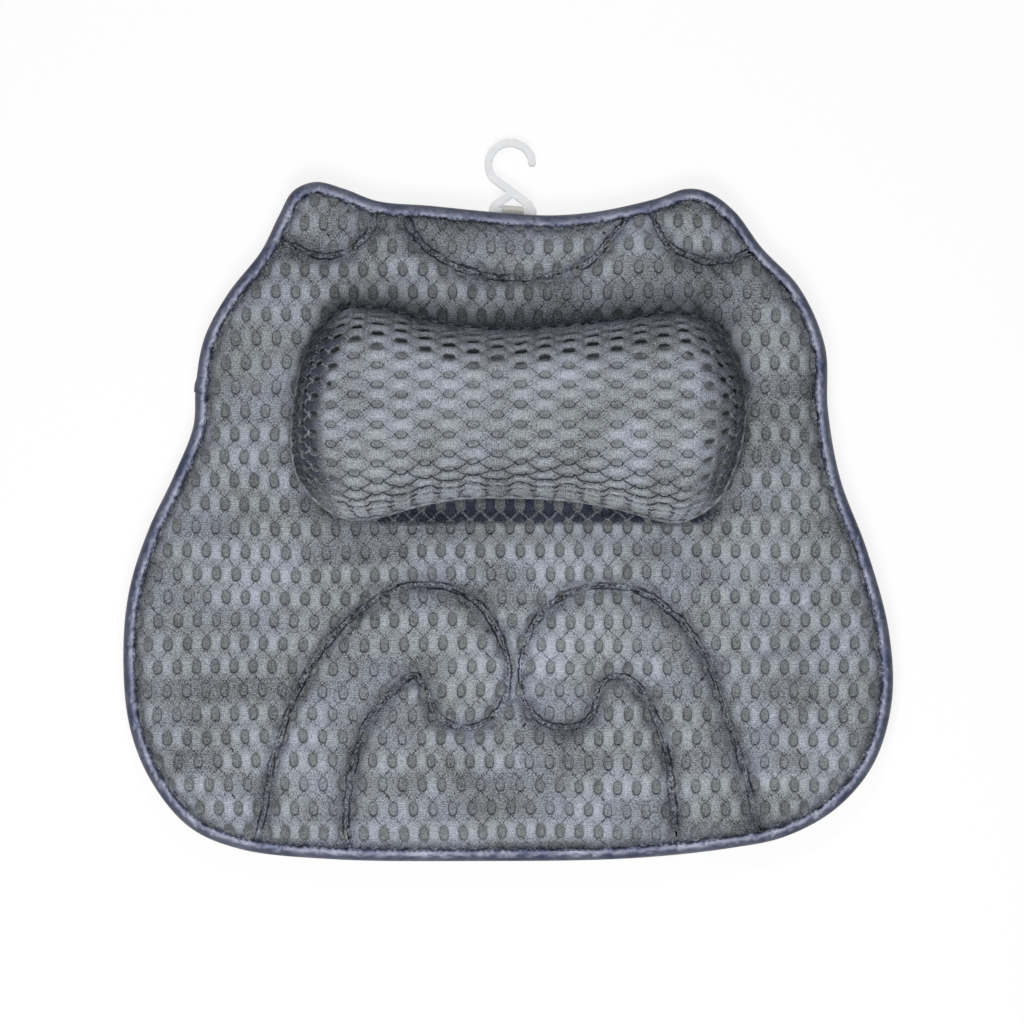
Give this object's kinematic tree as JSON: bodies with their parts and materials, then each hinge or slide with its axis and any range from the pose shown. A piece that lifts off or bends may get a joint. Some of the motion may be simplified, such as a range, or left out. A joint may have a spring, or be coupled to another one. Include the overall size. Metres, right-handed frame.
{
  "type": "bath pillow",
  "caption": "Quilted air-mesh bath pillow with a bound edge, a raised head pillow, suction cups in webbing straps and a plastic hanging hook.",
  "frame": {"origin": "middle of the whole part's box, on the surface that the suction cups stand on", "axes": "+Z out of the padded face, +Y towards the eared top edge with the hook, +X to the right as seen from the front"},
  "size_m": [0.461, 0.4338, 0.0841],
  "materials": {
    "mesh_fabric": "grey polyester air mesh with oval dimples",
    "spacer_fabric": "open spacer mesh",
    "satin_tape": "slate satin binding tape",
    "fibre_filling": "white polyester fibre",
    "ribbon": "off-white woven ribbon",
    "white_plastic": "moulded white polypropylene",
    "clear_pvc": "soft clear moulded PVC",
    "webbing": "flat woven grey webbing"
  },
  "bodies": {
    "pad": {"back_panel": "mesh_fabric", "spacer_core": "spacer_fabric", "front_panel": "mesh_fabric", "edge_binding": "satin_tape", "pillow_cover": "mesh_fabric", "pillow_back": "mesh_fabric", "pillow_filling": "fibre_filling", "pillow_welt": "mesh_fabric", "hang_loop": "ribbon", "cup_strap_1": "webbing", "cup_strap_2": "webbing", "cup_strap_3": "webbing", "cup_strap_4": "webbing", "cup_strap_5": "webbing", "cup_strap_6": "webbing"},
    "hook": {"hanging_hook": "white_plastic"},
    "cup_1": {"suction_cup_1": "clear_pvc"},
    "cup_2": {"suction_cup_2": "clear_pvc"},
    "cup_3": {"suction_cup_3": "clear_pvc"},
    "cup_4": {"suction_cup_4": "clear_pvc"},
    "cup_5": {"suction_cup_5": "clear_pvc"},
    "cup_6": {"suction_cup_6": "clear_pvc"}
  },
  "joints": [
    {"name": "hook_swing", "type": "hinge", "parent": "pad", "child": "hook", "pos_m": [0.00282, 0.17322, 0.0087], "axis": [0.9975, -0.0709, 0], "range_deg": [-130, 90]},
    {"name": "cup_turn_1", "type": "hinge", "parent": "pad", "child": "cup_1", "pos_m": [-0.10836, 0.10877, 0], "axis": [0, 0, 1], "continuous": true},
    {"name": "cup_turn_2", "type": "hinge", "parent": "pad", "child": "cup_2", "pos_m": [0.10831, 0.10877, 0], "axis": [0, 0, 1], "continuous": true},
    {"name": "cup_turn_3", "type": "hinge", "parent": "pad", "child": "cup_3", "pos_m": [-0.16138, -0.03775, 0], "axis": [0, 0, 1], "continuous": true},
    {"name": "cup_turn_4", "type": "hinge", "parent": "pad", "child": "cup_4", "pos_m": [0.16132, -0.03775, 0], "axis": [0, 0, 1], "continuous": true},
    {"name": "cup_turn_5", "type": "hinge", "parent": "pad", "child": "cup_5", "pos_m": [-0.10606, -0.15985, 0], "axis": [0, 0, 1], "continuous": true},
    {"name": "cup_turn_6", "type": "hinge", "parent": "pad", "child": "cup_6", "pos_m": [0.106, -0.15985, 0], "axis": [0, 0, 1], "continuous": true}
  ]
}
